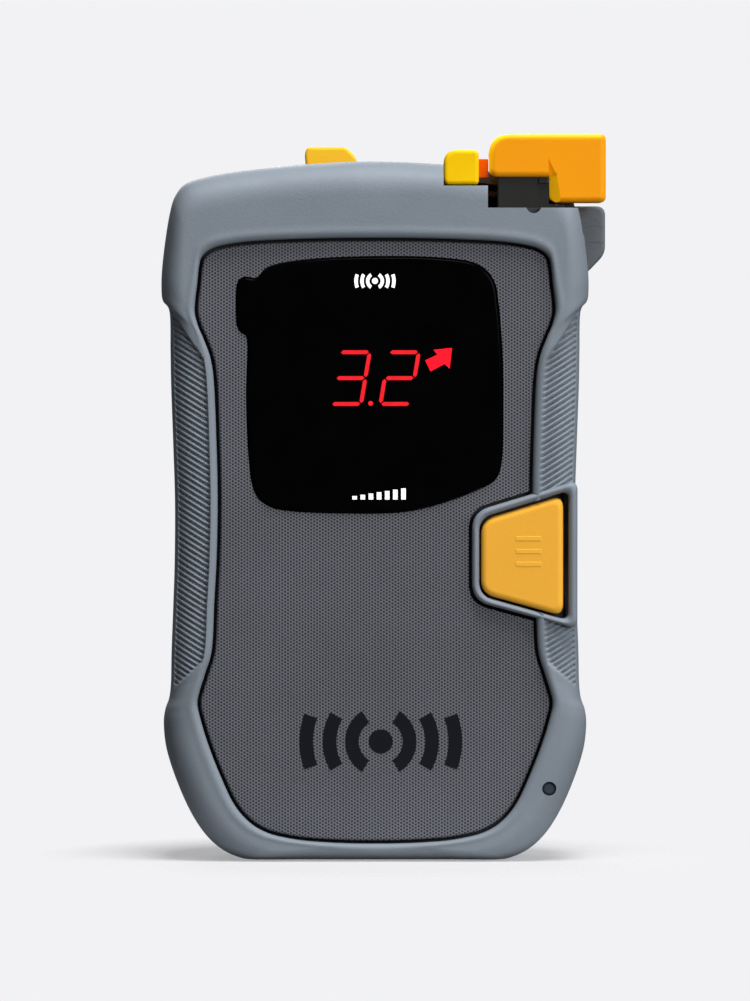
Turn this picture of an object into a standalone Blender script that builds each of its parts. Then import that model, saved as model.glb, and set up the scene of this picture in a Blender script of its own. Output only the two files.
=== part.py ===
"""An avalanche transceiver: a palm-sized radio case with a display, a pop-up search switch and a battery door.

X runs across the case, Y from the display to the battery door and Z up. The origin is the middle of
the flat bottom. Every length below is in millimetres.
"""

import math

import bmesh
import bpy
from mathutils import Vector

MM = 0.001
GAP = 0.3

# The case in front view: right half, from the middle of the top to the middle of the bottom.
CASE_HALF = (
    (0.0, 121.0), (12.0, 120.5), (23.5, 119.3), (31.8, 117.6), (34.9, 114.1), (35.8, 110.7),
    (36.5, 105.5), (37.0, 100.3), (36.5, 96.9), (35.5, 94.0), (35.3, 84.8), (34.6, 64.1),
    (34.8, 50.0), (35.3, 29.7), (36.3, 26.2), (36.6, 23.6), (36.1, 19.3), (33.8, 12.4),
    (30.4, 5.5), (27.0, 2.1), (23.3, 0.0), (10.0, 0.0), (0.0, 0.0),
)
HALF_WIDTH = 36.0
MID_HEIGHT = 60.5
FRAME_WALL = 2.2
FLANGE_REAR = -10.2
# Depth of each ring of the frame's outside, and how far it is drawn in there.
FRAME_RINGS = ((4.0, 0.0), (-6.0, 0.0), (-10.0, 0.9), (-12.3, 2.6), (-13.6, 4.6), (-14.0, 5.6))
REAR_RINGS = ((4.3, 0.3), (9.0, 0.8), (12.0, 2.3), (13.5, 4.3), (14.0, 5.8))

# The woven-look panel, its right half from the top.
PANEL_HALF = (
    (0.0, 107.4), (16.4, 107.1), (27.8, 105.6), (30.0, 103.6), (31.0, 95.5), (30.9, 93.4),
    (29.5, 90.2), (28.1, 86.5), (27.6, 82.0), (27.1, 62.0), (27.7, 45.0), (28.0, 36.5),
    (29.0, 32.8), (30.5, 28.5), (30.4, 26.0), (29.0, 20.5), (24.3, 9.8), (19.5, 5.2),
    (7.7, 3.3), (0.0, 3.05),
)
PANEL_FRONT = -12.4
PANEL_REAR = -10.3

# The display window, clockwise from its upper left corner, with the small ear on its left side.
WINDOW = (
    (-14.5, 103.2), (-6.8, 103.9), (4.3, 104.1), (16.8, 103.1), (20.5, 99.8), (21.8, 86.7),
    (21.9, 77.1), (21.5, 68.1), (19.8, 65.0), (12.0, 61.8), (4.4, 60.3), (-6.8, 60.2),
    (-15.8, 60.8), (-20.3, 63.2), (-21.5, 69.1), (-22.0, 80.3), (-21.9, 90.0), (-23.5, 91.9),
    (-23.7, 99.3), (-20.4, 100.6),
)
WINDOW_FRONT = -12.8
WINDOW_REAR = -10.7
OPENING_HALF_WIDTH = 19.0
OPENING_BOTTOM = 63.0
OPENING_TOP = 99.6

# The option button and the raised ring round it, each by its four corners.
BUTTON = ((18.4, 58.7), (32.5, 63.0), (32.5, 42.6), (18.4, 46.5))
BUTTON_WELL = ((17.9, 59.1), (33.0, 63.7), (33.0, 41.9), (17.9, 46.1))
BEZEL = ((16.8, 60.0), (34.9, 65.5), (34.9, 40.3), (16.8, 45.2))
BEZEL_GROOVE = ((16.2, 60.5), (36.0, 66.5), (36.0, 39.3), (16.2, 44.7))
BUTTON_FRONT = -13.8
BUTTON_REAR = -10.9
STEM_X = 25.5
STEM_Z = 53.0
STEM_RADIUS = 1.8

# The stepped well at the top right for the lock tab, the search switch and the switch's leg.
TAB_WELL_LEFT = 11.8
TAB_FLOOR = 116.4
SWITCH_WELL_LEFT = 19.4
SWITCH_FLOOR = 112.6
WELL_RIGHT = 45.0
LEG_CHANNEL_FLOOR = 108.0
LEG_CHANNEL_LEFT = 29.9
LEG_FRONT = -9.0
LEG_LEFT = 30.3
LEG_BOTTOM = 113.5
LEG_REAR = 2.6
SHANK_LEFT = 21.1
SHANK_RIGHT = 32.7
SHANK_FRONT = -8.4
SHANK_REAR = -4.8
SHANK_BOTTOM = 107.4
SHANK_WELL_FLOOR = 102.0
HOUSING_BOTTOM = 100.0

SHELL_INSET = 2.5
SHELL_WALL = 1.6
SHELL_FRONT = -9.9
SHELL_PLATE_REAR = -8.2
SHELL_REAR = 3.2

# The case screws, by their places on the back, and the posts that they turn into.
SCREW_PLACES = ((-25.0, 13.0), (25.0, 13.0), (-26.5, 68.0), (26.5, 68.0), (-26.0, 103.0), (26.0, 97.0))
POST_RADIUS = 3.0
POST_REAR = 8.8
SCREW_RADIUS = 1.2
SCREW_TIP = -3.0
SCREW_HEAD_RADIUS = 2.3
SCREW_HEAD_FRONT = 11.6
SCREW_HEAD_REAR = 13.0

REAR_WALL_FRONT = 10.2
BAY_FRONT = 0.4
BAY_HALF_WIDTH = 17.2
BAY_BOTTOM = 9.8
BAY_TOP = 58.3
TUB_FRONT = -0.8
TUB_HALF_WIDTH = 18.8
TUB_BOTTOM = 7.5
TUB_TOP = 68.0
DOOR_HALF_WIDTH = 20.8
DOOR_BOTTOM = 7.6
DOOR_TOP = 66.8
DOOR_FRONT = 12.4
DOOR_REAR = 14.0
DOOR_SCREW_Z = 62.4
BATTERY_RADIUS = 5.25
BATTERY_DEPTH = 5.95
BATTERY_BOTTOM = 11.8
BATTERY_TOP = 55.0
BATTERY_PITCH = 11.0

KNOB_X = -7.6
KNOB_Z = 110.8
KNOB_RADIUS = 7.5
KNOB_DISH_RADIUS = 13.2
KNOB_DISH_FRONT = 9.9
KNOB_FRONT = 10.3
KNOB_REAR = 13.9

BOARD_FRONT = -6.8
BOARD_REAR = -5.4


def clear_scene():
    for obj in list(bpy.data.objects):
        bpy.data.objects.remove(obj)


# Outlines

def mirrored(half):
    """A closed outline from its right half, given from the top middle to the bottom middle."""
    left = [(-x, z) for x, z in reversed(half[1:-1])]
    return list(half) + left


def smoothed(points, steps):
    """A closed Catmull-Rom curve through the points, kept at or above the flat bottom."""
    curve = []
    count = len(points)
    for i in range(count):
        before, start, end, after = (Vector(points[(i + k) % count]) for k in (-1, 0, 1, 2))
        for step in range(steps):
            t = step / steps
            spot = (
                2.0 * start
                + (end - before) * t
                + (2.0 * before - 5.0 * start + 4.0 * end - after) * t ** 2
                + (3.0 * start - before - 3.0 * end + after) * t ** 3
            ) / 2.0
            curve.append((spot.x, max(spot.y, 0.0)))
    return curve


def rounded(corners, radius, steps=4):
    """A polygon with its corners turned into arcs."""
    curve = []
    count = len(corners)
    for i in range(count):
        before, corner, after = (Vector(corners[(i + k) % count]) for k in (-1, 0, 1))
        start = corner + (before - corner).normalized() * radius
        end = corner + (after - corner).normalized() * radius
        for step in range(steps + 1):
            t = step / steps
            spot = start * (1 - t) ** 2 + corner * (2 * t * (1 - t)) + end * t ** 2
            curve.append((spot.x, spot.y))
    return curve


def drawn_in(outline, amount):
    """The outline shrunk about the middle of the case by this much at its sides, top and bottom."""
    across = 1.0 - amount / HALF_WIDTH
    along = 1.0 - amount / MID_HEIGHT
    return [(x * across, MID_HEIGHT + (z - MID_HEIGHT) * along) for x, z in outline]


def circle(x, z, radius, sides):
    turns = [2.0 * math.pi * i / sides for i in range(sides)]
    return [(x + radius * math.cos(turn), z + radius * math.sin(turn)) for turn in turns]


# Solids

def new_solid(name, work):
    bmesh.ops.recalc_face_normals(work, faces=work.faces)
    mesh = bpy.data.meshes.new(name)
    work.to_mesh(mesh)
    work.free()
    obj = bpy.data.objects.new(name, mesh)
    bpy.context.collection.objects.link(obj)
    return obj


def loft(name, rings):
    """A closed solid through rings of points that have the same count, capped at both ends."""
    work = bmesh.new()
    loops = [[work.verts.new(Vector(point) * MM) for point in ring] for ring in rings]
    count = len(loops[0])
    for near, far in zip(loops, loops[1:]):
        for i in range(count):
            j = (i + 1) % count
            work.faces.new((near[i], near[j], far[j], far[i]))
    work.faces.new(loops[0])
    work.faces.new(loops[-1])
    return new_solid(name, work)


def prism(name, outline, front, rear):
    return loft(name, [[(x, depth, z) for x, z in outline] for depth in (front, rear)])


def shell_loft(name, outline, rings):
    return loft(name, [[(x, depth, z) for x, z in drawn_in(outline, amount)] for depth, amount in rings])


def box(name, across, deep, high):
    corners = ((across[0], high[0]), (across[1], high[0]), (across[1], high[1]), (across[0], high[1]))
    return prism(name, corners, deep[0], deep[1])


def stepped_rod(name, start, direction, steps, sides=20):
    """A turned piece: each step is (distance along the direction, radius)."""
    along = Vector(direction).normalized()
    side = along.orthogonal().normalized()
    other = along.cross(side)
    turns = [2.0 * math.pi * i / sides for i in range(sides)]
    rings = []
    for distance, radius in steps:
        middle = Vector(start) + along * distance
        rings.append([middle + (side * math.cos(t) + other * math.sin(t)) * radius for t in turns])
    return loft(name, rings)


def pin(name, x, z, radius, front, rear, sides=20):
    return prism(name, circle(x, z, radius, sides), front, rear)


def combine(obj, other, operation):
    """Joins or cuts with the exact solver and removes the second solid."""
    modifier = obj.modifiers.new(operation, "BOOLEAN")
    modifier.operation = operation
    modifier.solver = "EXACT"
    modifier.object = other
    bpy.context.view_layer.update()
    graph = bpy.context.evaluated_depsgraph_get()
    result = bpy.data.meshes.new_from_object(obj.evaluated_get(graph))
    obj.modifiers.clear()
    obj.data = result
    bpy.data.objects.remove(other)


def cut(obj, *cutters):
    for cutter in cutters:
        combine(obj, cutter, "DIFFERENCE")


def join(obj, *others):
    for other in others:
        combine(obj, other, "UNION")


def coat(obj, colour, roughness, metallic=0.0):
    """The piece's own material, and smooth shading over its round faces."""
    material = bpy.data.materials.new(obj.name)
    material.use_nodes = True
    shader = material.node_tree.nodes["Principled BSDF"]
    shader.inputs["Base Color"].default_value = (*colour, 1.0)
    shader.inputs["Roughness"].default_value = roughness
    shader.inputs["Metallic"].default_value = metallic
    obj.data.materials.clear()
    obj.data.materials.append(material)
    obj.data.shade_smooth()
    obj.data.set_sharp_from_angle(angle=math.radians(32.0))
    return obj


def set_origin(obj, x, y, z):
    """Puts the origin of a moving piece on its joint."""
    spot = Vector((x, y, z)) * MM
    for vertex in obj.data.vertices:
        vertex.co -= spot
    obj.location = spot


GREY_RUBBER = (0.20, 0.225, 0.26)
DARK_PLASTIC = (0.05, 0.055, 0.062)
ORANGE = (0.88, 0.33, 0.01)
BLACK = (0.012, 0.012, 0.013)
STEEL = (0.55, 0.55, 0.56)
BRASS = (0.6, 0.42, 0.16)


# The case

def post_cutters(radius, front, rear):
    return [pin("post_cutter", x, z, radius, front, rear, 16) for x, z in SCREW_PLACES]


def well_cutters():
    """The stepped top corner, and the open-sided channel that takes the switch's leg."""
    return (
        box("tab_well", (TAB_WELL_LEFT, WELL_RIGHT), (-15.0, 3.8), (TAB_FLOOR, 130.0)),
        box("switch_well", (SWITCH_WELL_LEFT, WELL_RIGHT), (-15.0, 3.8), (SWITCH_FLOOR, 130.0)),
        box("leg_channel", (LEG_CHANNEL_LEFT, WELL_RIGHT), (LEG_FRONT - GAP, 3.8), (LEG_CHANNEL_FLOOR, 115.0)),
        box("shank_well", (SHANK_LEFT - GAP, SHANK_RIGHT + GAP), (SHANK_FRONT - GAP, SHANK_REAR + GAP),
            (SHANK_WELL_FLOOR, 115.0)),
    )


def rubber_frame():
    outline = smoothed(mirrored(CASE_HALF), 2)
    frame = shell_loft("rubber_frame", outline, FRAME_RINGS)
    cut(
        frame,
        prism("frame_hollow", drawn_in(outline, FRAME_WALL), FLANGE_REAR, 6.0),
        prism("panel_opening", smoothed(mirrored(PANEL_HALF), 2), -16.0, -9.0),
    )
    join(frame, prism("bezel", rounded(BEZEL, 2.6), -13.7, FLANGE_REAR))
    cut(frame, prism("button_well", rounded(BUTTON_WELL, 2.4), -16.0, -9.0))
    cut(frame, *well_cutters())
    cut(frame, pin("indicator_hole", 30.0, 12.6, 1.5, -16.0, -9.0))
    coat(frame, GREY_RUBBER, 0.7)


def front_shell():
    """The hard tray under the rubber: a face plate, side walls, screw posts and the switch housing."""
    outline = smoothed(mirrored(CASE_HALF), 2)
    shell = prism("front_shell", drawn_in(outline, SHELL_INSET), SHELL_FRONT, SHELL_REAR)
    cut(
        shell,
        prism("shell_hollow", drawn_in(outline, SHELL_INSET + SHELL_WALL), SHELL_PLATE_REAR, 6.0),
        box("display_opening", (-OPENING_HALF_WIDTH, OPENING_HALF_WIDTH), (-12.0, -7.0),
            (OPENING_BOTTOM, OPENING_TOP)),
        pin("stem_hole", STEM_X, STEM_Z, STEM_RADIUS + GAP, -12.0, -7.0),
    )
    housing = prism("switch_housing", drawn_in(outline, SHELL_INSET + 0.4), -9.2, 3.0)
    cut(
        housing,
        box("below_housing", (-50.0, 50.0), (-15.0, 6.0), (-10.0, HOUSING_BOTTOM)),
        box("beside_housing", (-50.0, 9.8), (-15.0, 6.0), (-10.0, 130.0)),
        box("behind_housing", (-50.0, 18.4), (SHANK_REAR + 1.5, 6.0), (-10.0, 112.0)),
    )
    join(shell, housing)
    for x, z in SCREW_PLACES:
        join(shell, pin("post", x, z, POST_RADIUS, -9.0, POST_REAR, 16))
    cut(shell, *well_cutters())
    cut(shell, box("tab_slot", (13.0, 18.4), (-4.4, 0.4), (113.4, 118.0)))
    cut(shell, *post_cutters(SCREW_RADIUS + GAP, SCREW_TIP - 1.0, 12.0))
    coat(shell, DARK_PLASTIC, 0.5)


def seal_ring(name, grown, front, rear):
    """The ring round the battery bay, grown all round when it cuts the groove that the seal sits in."""
    half, low, high, width = 19.6 + grown, 8.2 - grown, 59.9 + grown, 1.0 + 2.0 * grown
    ring = box(name, (-half, half), (front, rear), (low, high))
    cut(ring, box("ring_middle", (width - half, half - width), (front - 1.0, rear + 1.0), (low + width, high - width)))
    return ring


def rear_shell():
    """The back half: a deep tray with the battery bay, the knob dish and the guard behind the switch."""
    outline = smoothed(mirrored(CASE_HALF), 2)
    shell = shell_loft("rear_shell", outline, REAR_RINGS)
    cut(shell, prism("rear_hollow", drawn_in(outline, 4.0), 3.0, REAR_WALL_FRONT))
    join(
        shell,
        box("bay_tub", (-TUB_HALF_WIDTH, TUB_HALF_WIDTH), (TUB_FRONT, 11.0), (TUB_BOTTOM, TUB_TOP)),
        pin("knob_pad", KNOB_X, KNOB_Z - 7.6, 15.2, 7.6, 11.0, 32),
        prism("guard", rounded(((30.0, 113.1), (40.1, 113.1), (40.1, 104.6), (36.8, 101.2), (30.0, 101.2)), 0.8, 2),
              4.3, 11.0),
    )
    cut(
        shell,
        box("bay", (-BAY_HALF_WIDTH, BAY_HALF_WIDTH), (BAY_FRONT, 16.0), (BAY_BOTTOM, BAY_TOP)),
        prism("door_recess", rounded(((-DOOR_HALF_WIDTH - GAP, DOOR_BOTTOM - GAP),
                                      (-DOOR_HALF_WIDTH - GAP, DOOR_TOP + GAP),
                                      (DOOR_HALF_WIDTH + GAP, DOOR_TOP + GAP),
                                      (DOOR_HALF_WIDTH + GAP, DOOR_BOTTOM - GAP)), 2.6), DOOR_FRONT - GAP, 16.0),
        pin("door_screw_hole", 0.0, DOOR_SCREW_Z, 1.8, 2.0, 16.0),
        seal_ring("seal_groove", 0.15, 11.0, 13.0),
        prism("knob_dish", circle(KNOB_X, KNOB_Z, KNOB_DISH_RADIUS, 40), KNOB_DISH_FRONT, 16.0),
        pin("knob_hole", KNOB_X, KNOB_Z, 2.1, 4.0, 16.0),
        *post_cutters(SCREW_RADIUS + GAP, 2.0, 16.0),
        *post_cutters(POST_RADIUS + GAP, 2.0, POST_REAR + GAP),
        *post_cutters(SCREW_HEAD_RADIUS + GAP, SCREW_HEAD_FRONT - GAP, 16.0),
    )
    coat(shell, (0.115, 0.13, 0.145), 0.55)


def case_gasket():
    outline = smoothed(mirrored(CASE_HALF), 2)
    gasket = prism("case_gasket", drawn_in(outline, 2.7), 3.5, 4.0)
    cut(gasket, prism("gasket_middle", drawn_in(outline, 3.9), 2.0, 6.0))
    coat(gasket, BLACK, 0.8)


def case_screws():
    for number, (x, z) in enumerate(SCREW_PLACES, 1):
        screw = stepped_rod(
            f"case_screw_{number}", (x, SCREW_TIP, z), (0, 1, 0),
            ((0.0, 0.7), (1.2, SCREW_RADIUS), (SCREW_HEAD_FRONT - SCREW_TIP, SCREW_RADIUS),
             (SCREW_HEAD_FRONT - SCREW_TIP, SCREW_HEAD_RADIUS), (SCREW_HEAD_REAR - SCREW_TIP, SCREW_HEAD_RADIUS)),
            16,
        )
        cut(screw, pin("socket", x, z, 1.1, 12.2, 15.0, 6))
        coat(screw, STEEL, 0.35, 1.0)


# The face

def front_panel():
    panel = prism("front_panel", drawn_in(smoothed(mirrored(PANEL_HALF), 2), 0.5), PANEL_FRONT, PANEL_REAR)
    window = [(x * 1.02, 82.0 + (z - 82.0) * 1.018) for x, z in smoothed(WINDOW, 2)]
    cut(
        panel,
        prism("window_opening", window, -16.0, -9.0),
        prism("bezel_opening", rounded(BEZEL_GROOVE, 3.0), -16.0, -9.0),
    )
    coat(panel, (0.085, 0.09, 0.1), 0.75)


def display_window():
    coat(prism("display_window", smoothed(WINDOW, 2), WINDOW_FRONT, WINDOW_REAR), BLACK, 0.06)


def display_mask():
    """The black frame behind the window, open where the digits and the arrow stand."""
    mask = box("display_mask", (-18.6, 18.6), (-10.0, -8.4), (63.4, 99.2))
    cut(mask, box("digit_opening", (-9.6, 15.2), (-12.0, -7.0), (76.2, 90.8)))
    coat(mask, BLACK, 0.6)


def led_digit(name, left):
    """A seven-segment block: a housing with its segments standing a little proud."""
    width, low, high = 8.2, 76.6, 90.2
    block = box(name, (left, left + width), (-10.1, BOARD_FRONT - GAP), (low, high))
    bar, face = 1.1, (-10.35, -9.9)
    start, end = left + 1.3, left + 6.5
    middle = 83.3
    bottom, top = 78.4, 88.2
    for level in (bottom, middle, top):
        join(block, box("segment", (start + 0.3, end - 0.3), face, (level - bar / 2, level + bar / 2)))
    for side in (start, end):
        for below, above in ((bottom, middle), (middle, top)):
            join(block, box("segment", (side - bar / 2, side + bar / 2), face,
                            (below + bar / 2 + 0.25, above - bar / 2 - 0.25)))
    coat(block, (0.35, 0.02, 0.02), 0.35)


def led_arrow():
    block = box("led_arrow", (8.5, 14.9), (-10.1, BOARD_FRONT - GAP), (82.6, 90.2))
    arrow = ((13.4, 88.4), (12.9, 84.9), (11.9, 85.7), (9.5, 84.3), (8.8, 86.0), (10.9, 87.3), (9.9, 88.2))
    join(block, prism("arrow", arrow, -10.35, -9.9))
    coat(block, (0.5, 0.02, 0.03), 0.35)


def option_button():
    button = prism("option_button", rounded(BUTTON, 2.4), BUTTON_FRONT, BUTTON_REAR)
    join(button, pin("stem", STEM_X, STEM_Z, STEM_RADIUS, -11.2, -8.35))
    coat(button, ORANGE, 0.45)
    set_origin(button, STEM_X, BUTTON_REAR, STEM_Z)


def option_switch():
    switch = box("option_switch", (22.7, 28.3), (-7.2, BOARD_FRONT - 0.05), (50.2, 55.8))
    join(switch, pin("plunger", STEM_X, STEM_Z, 1.2, -7.45, -7.0, 16))
    coat(switch, STEEL, 0.4, 1.0)


def indicator_lens():
    lens = stepped_rod("indicator_lens", (30.0, -10.6, 12.6), (0, -1, 0), ((0.0, 1.2), (1.6, 1.2), (2.0, 0.8)))
    coat(lens, (0.03, 0.045, 0.06), 0.15)


# The search switch, its lock and the power knob

def search_switch_head():
    """The orange cap. Its left flank has two notches: the lock enters the lower one up and the upper one down."""
    outline = ((19.7, 117.9), (19.7, 123.6), (21.4, 125.3), (39.3, 125.3), (39.8, 124.8), (39.8, 117.9))
    head = prism("search_switch_head", outline, -9.0, 3.4)
    leg = rounded(((LEG_LEFT, 119.0), (39.8, 119.0), (39.8, LEG_BOTTOM), (LEG_LEFT, LEG_BOTTOM)), 0.8, 2)
    join(head, prism("leg", leg, LEG_FRONT, LEG_REAR))
    cut(
        head,
        box("upper_notch", (18.0, 21.6), (-4.4, 5.0), (122.5, 127.0)),
        box("lower_notch", (18.0, 21.6), (-4.4, 5.0), (116.0, 121.4)),
    )
    coat(head, ORANGE, 0.4)
    set_origin(head, 29.0, 0.0, SWITCH_FLOOR)


def search_switch_shank():
    """The black plunger. Its foot reaches under the leg."""
    shank = box("search_switch_shank", (SHANK_LEFT, LEG_LEFT - GAP), (SHANK_FRONT, SHANK_REAR), (SHANK_BOTTOM, 117.6))
    join(shank, box("shank_foot", (SHANK_LEFT + 2.0, SHANK_RIGHT), (SHANK_FRONT, SHANK_REAR),
                    (SHANK_BOTTOM, LEG_BOTTOM - GAP)))
    cut(shank, box("magnet_pocket", (24.7, 29.1), (-7.9, SHANK_REAR + 1.0), (SHANK_BOTTOM - 1.0, 110.0)))
    coat(shank, BLACK, 0.5)
    set_origin(shank, 29.0, 0.0, SWITCH_FLOOR)


def switch_magnet():
    magnet = box("switch_magnet", (25.0, 28.8), (-7.6, -5.1), (SHANK_BOTTOM, 109.7))
    coat(magnet, STEEL, 0.3, 1.0)
    set_origin(magnet, 29.0, 0.0, SWITCH_FLOOR)


def lock_tab():
    """Slides right to put its nose into a notch of the search switch."""
    tab = prism("lock_tab", rounded(((11.9 + GAP, 116.7), (11.9 + GAP, 122.6), (17.8, 122.6), (17.8, 116.7)), 0.8, 2),
                -8.6, 3.2)
    join(
        tab,
        box("nose", (17.0, 19.3), (-4.0, 3.0), (118.0, 121.0)),
        box("foot", (13.3, 16.4), (-4.0, 0.0), (114.0, 117.5)),
    )
    coat(tab, (0.9, 0.5, 0.01), 0.4)
    set_origin(tab, 14.8, 0.0, TAB_FLOOR)


def power_knob():
    """A disc with a pointer bar that shows over the top edge of the case."""
    knob = prism("power_knob", circle(KNOB_X, KNOB_Z, KNOB_RADIUS, 40), KNOB_FRONT, 12.4)
    bar = ((-12.2, 122.2), (-11.8, 123.1), (-5.1, 123.1), (-3.1, 121.6), (-4.6, 104.9), (-10.6, 104.9))
    join(knob, prism("pointer", bar, KNOB_FRONT + 0.2, KNOB_REAR))
    cut(knob, pin("shaft_socket", KNOB_X, KNOB_Z, 2.3, 9.0, 12.0))
    coat(knob, ORANGE, 0.45)
    set_origin(knob, KNOB_X, KNOB_FRONT, KNOB_Z)


def power_knob_shaft():
    shaft = stepped_rod("power_knob_shaft", (KNOB_X, -1.0, KNOB_Z), (0, 1, 0),
                        ((0.0, 1.6), (4.0, 1.6), (4.0, 2.0), (12.7, 2.0)))
    coat(shaft, STEEL, 0.35, 1.0)
    set_origin(shaft, KNOB_X, KNOB_FRONT, KNOB_Z)


def power_knob_ring():
    ring = pin("power_knob_ring", KNOB_X, KNOB_Z, 3.6, 5.4, 7.2, 24)
    cut(ring, pin("ring_bore", KNOB_X, KNOB_Z, 2.2, 4.0, 9.0, 24))
    coat(ring, BLACK, 0.8)


def power_switch():
    switch = box("power_switch", (KNOB_X - 5.0, KNOB_X + 5.0), (BOARD_REAR + 0.1, 0.6), (105.4, 114.6))
    cut(switch, pin("switch_bore", KNOB_X, KNOB_Z, 1.9, -1.6, 3.0))
    coat(switch, (0.03, 0.12, 0.08), 0.5)


# The battery bay

def battery_door():
    door = prism("battery_door", rounded(((-DOOR_HALF_WIDTH, DOOR_BOTTOM), (-DOOR_HALF_WIDTH, DOOR_TOP),
                                          (DOOR_HALF_WIDTH, DOOR_TOP), (DOOR_HALF_WIDTH, DOOR_BOTTOM)), 2.4),
                 DOOR_FRONT, DOOR_REAR)
    cut(
        door,
        pin("screw_seat", 0.0, DOOR_SCREW_Z, 3.3, 13.0, 16.0, 24),
        pin("screw_hole", 0.0, DOOR_SCREW_Z, 1.8, 11.0, 16.0),
    )
    for level in (14.0, 17.0, 20.0):
        cut(door, box("finger_groove", (-9.0, 9.0), (13.5, 15.0), (level, level + 1.4)))
    coat(door, (0.1, 0.11, 0.12), 0.6)
    set_origin(door, 0.0, DOOR_REAR, 36.8)


def battery_door_seal():
    seal = seal_ring("battery_door_seal", 0.0, 11.3, 12.2)
    coat(seal, (0.5, 0.1, 0.05), 0.7)


def battery_door_screw():
    screw = stepped_rod("battery_door_screw", (0.0, 3.0, DOOR_SCREW_Z), (0, 1, 0),
                        ((0.0, 1.0), (1.0, 1.5), (10.3, 1.5), (10.3, 3.0), (10.9, 3.0)), 24)
    cut(screw, box("coin_slot", (-4.0, 4.0), (13.45, 15.0), (DOOR_SCREW_Z - 0.5, DOOR_SCREW_Z + 0.5)))
    coat(screw, STEEL, 0.3, 1.0)
    set_origin(screw, 0.0, DOOR_REAR, DOOR_SCREW_Z)


def batteries():
    """Three AAA cells side by side, the middle one the other way up."""
    length = BATTERY_TOP - BATTERY_BOTTOM
    for number, place in enumerate((-1, 0, 1), 1):
        turned = place == 0
        start = BATTERY_TOP if turned else BATTERY_BOTTOM
        cell = stepped_rod(
            f"battery_{number}", (place * BATTERY_PITCH, BATTERY_DEPTH, start), (0, 0, -1 if turned else 1),
            ((0.0, 4.6), (0.4, BATTERY_RADIUS), (length - 0.6, BATTERY_RADIUS), (length, 4.4),
             (length, 1.9), (length + 1.0, 1.9)),
            24,
        )
        coat(cell, (0.12, 0.3, 0.16), 0.35, 0.6)


def battery_contact(name, low, high, tongues):
    """A sprung strip across one end of the bay: each tongue is (place, low, high)."""
    plate = box(name, (-16.0, 16.0), (1.4, 10.6), (low, high))
    for place, tongue_low, tongue_high in tongues:
        middle = place * BATTERY_PITCH
        join(plate, box("tongue", (middle - 2.5, middle + 2.5), (4.0, 8.0), (tongue_low, tongue_high)))
    coat(plate, BRASS, 0.3, 1.0)


# The electronics

def main_board():
    board = box("main_board", (-21.6, 21.6), (BOARD_FRONT, BOARD_REAR), (9.0, 98.8))
    join(
        board,
        box("switch_ear", (20.0, 29.0), (BOARD_FRONT, BOARD_REAR), (47.0, 60.0)),
        box("knob_ear", (-19.6, 7.5), (BOARD_FRONT, BOARD_REAR), (97.0, 115.0)),
    )
    coat(board, (0.01, 0.16, 0.07), 0.45)


def board_parts():
    rear = BOARD_REAR + 0.1
    coat(box("microcontroller", (-6.0, 6.0), (rear, -4.1), (78.0, 90.0)), BLACK, 0.4)
    coat(box("hall_sensor", (17.5, 20.5), (rear, -3.9), (93.0, 96.5)), BLACK, 0.4)
    coat(pin("speaker", 0.0, 38.0, 9.0, rear, -1.5, 32), (0.03, 0.03, 0.035), 0.5)


def antennas():
    """Three ferrite rods at right angles, each with its copper coil round the middle."""
    places = (
        ("antenna_across", (-22.0, 2.0, 92.0), (1, 0, 0), 44.0),
        ("antenna_along", (-24.7, 1.5, 18.0), (0, 0, 1), 44.0),
        ("antenna_deep", (14.0, -3.6, 79.0), (0, 1, 0), 12.0),
    )
    for name, start, direction, length in places:
        along = Vector(direction)
        rod = stepped_rod(f"{name}_rod", start, direction, ((0.0, 2.5), (length, 2.5)), 20)
        coat(rod, (0.05, 0.045, 0.045), 0.4)
        coil_start = Vector(start) + along * length * 0.28
        coil_length = length * 0.44
        coil = stepped_rod(f"{name}_coil", coil_start, direction, ((0.0, 3.6), (coil_length, 3.6)), 20)
        bore_start = coil_start - along
        cut(coil, stepped_rod("coil_bore", bore_start, direction, ((0.0, 2.8), (coil_length + 2.0, 2.8)), 20))
        coat(coil, (0.45, 0.16, 0.05), 0.35, 0.9)


def build():
    clear_scene()
    rubber_frame()
    front_shell()
    rear_shell()
    case_gasket()
    case_screws()
    front_panel()
    display_window()
    display_mask()
    led_digit("led_digit_ones", -8.5)
    led_digit("led_digit_tenths", 0.0)
    led_arrow()
    option_button()
    option_switch()
    indicator_lens()
    search_switch_head()
    search_switch_shank()
    switch_magnet()
    lock_tab()
    power_knob()
    power_knob_shaft()
    power_knob_ring()
    power_switch()
    battery_door()
    battery_door_seal()
    battery_door_screw()
    batteries()
    battery_contact("battery_contact_lower", 10.1, 10.4, ((-1, 10.2, 11.5), (1, 10.2, 11.5)))
    battery_contact("battery_contact_upper", 57.7, 58.0, ((-1, 56.3, 57.9), (0, 55.3, 57.9), (1, 56.3, 57.9)))
    main_board()
    board_parts()
    antennas()


build()
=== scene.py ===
"""The finished look of the avalanche transceiver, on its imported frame.

X runs across the case, Y from the display to the battery door and Z up. Lengths are in millimetres
until they reach a mesh, which is in metres.
"""

import math

import bpy
import numpy as np
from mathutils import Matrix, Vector


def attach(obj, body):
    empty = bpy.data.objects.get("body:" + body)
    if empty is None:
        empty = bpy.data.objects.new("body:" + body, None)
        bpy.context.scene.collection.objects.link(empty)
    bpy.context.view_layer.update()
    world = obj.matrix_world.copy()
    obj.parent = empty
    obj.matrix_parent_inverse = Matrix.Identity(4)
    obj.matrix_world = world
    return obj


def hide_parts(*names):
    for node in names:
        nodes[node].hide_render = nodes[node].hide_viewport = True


MM = 0.001

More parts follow.
